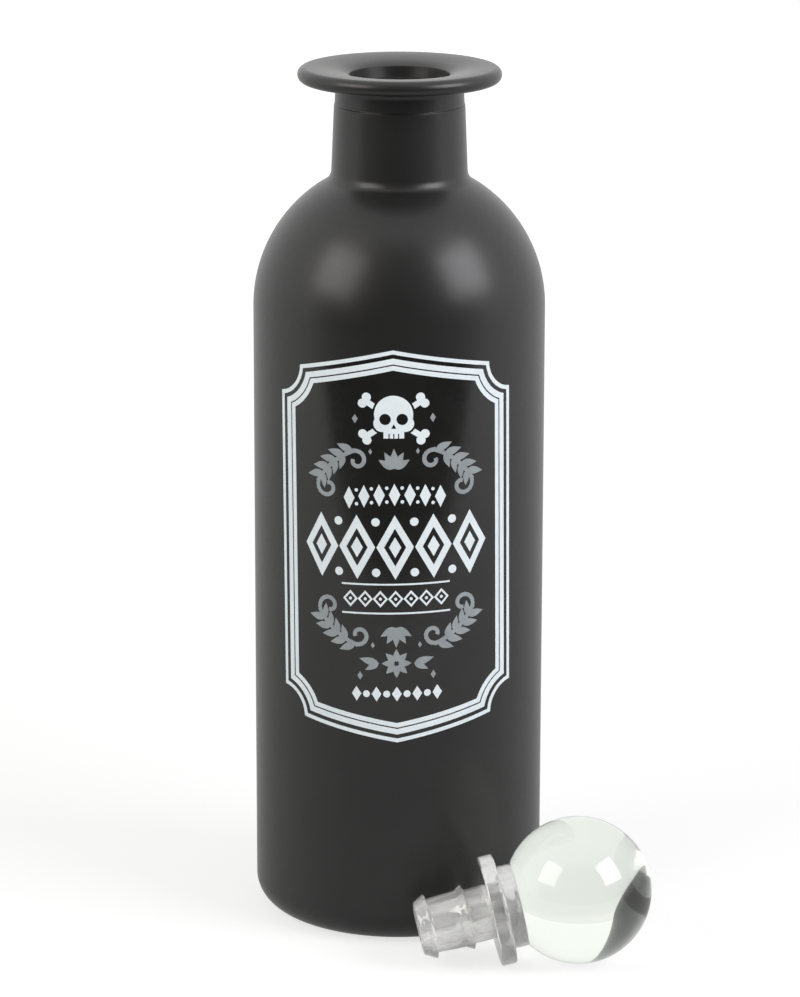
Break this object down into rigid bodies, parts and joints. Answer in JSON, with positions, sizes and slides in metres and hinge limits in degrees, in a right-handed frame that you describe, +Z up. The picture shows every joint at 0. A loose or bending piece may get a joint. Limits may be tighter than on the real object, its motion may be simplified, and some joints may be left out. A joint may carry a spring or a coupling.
{
  "type": "poison bottle",
  "caption": "Matt black glass bottle with a wide flared lip and a skull label wrapped round its front, with its clear glass ball stopper lying beside it.",
  "frame": {"origin": "on the bottle's axis, at the level of the table that the bottle and the stopper rest on", "axes": "+Z up along the bottle's axis, the label's centre faces -Y, +X to the right of the label"},
  "size_m": [0.1033, 0.1017, 0.223],
  "materials": {
    "black_glass": "satin matt black, opaque",
    "black_film": "semi-gloss",
    "white_print": "semi-gloss print",
    "grey_print": "semi-gloss print",
    "clear_glass": "clear, polished, faint green",
    "clear_plastic": "clear, slightly hazy"
  },
  "bodies": {
    "bottle": {"bottle_glass": "black_glass", "label_film": "black_film", "frame_outer_line": "white_print", "frame_band": "white_print", "frame_inner_line": "white_print", "crossbones": "white_print", "skull": "white_print", "spark_marks": "grey_print", "upper_scrolls": "grey_print", "upper_palmette": "grey_print", "upper_bead_row": "white_print", "diamond_band": "white_print", "rule_pair": "white_print", "chain_row": "white_print", "lower_scrolls": "grey_print", "lower_palmette": "grey_print", "rosette": "grey_print", "lower_bead_row": "white_print"},
    "stopper": {"stopper_ball": "clear_glass", "stopper_seal": "clear_plastic"}
  },
  "joints": [
    {"name": "stopper_lift", "type": "slide", "parent": "bottle", "child": "stopper", "axis": [0, 0, 1], "range_m": [0, 0.24]}
  ]
}
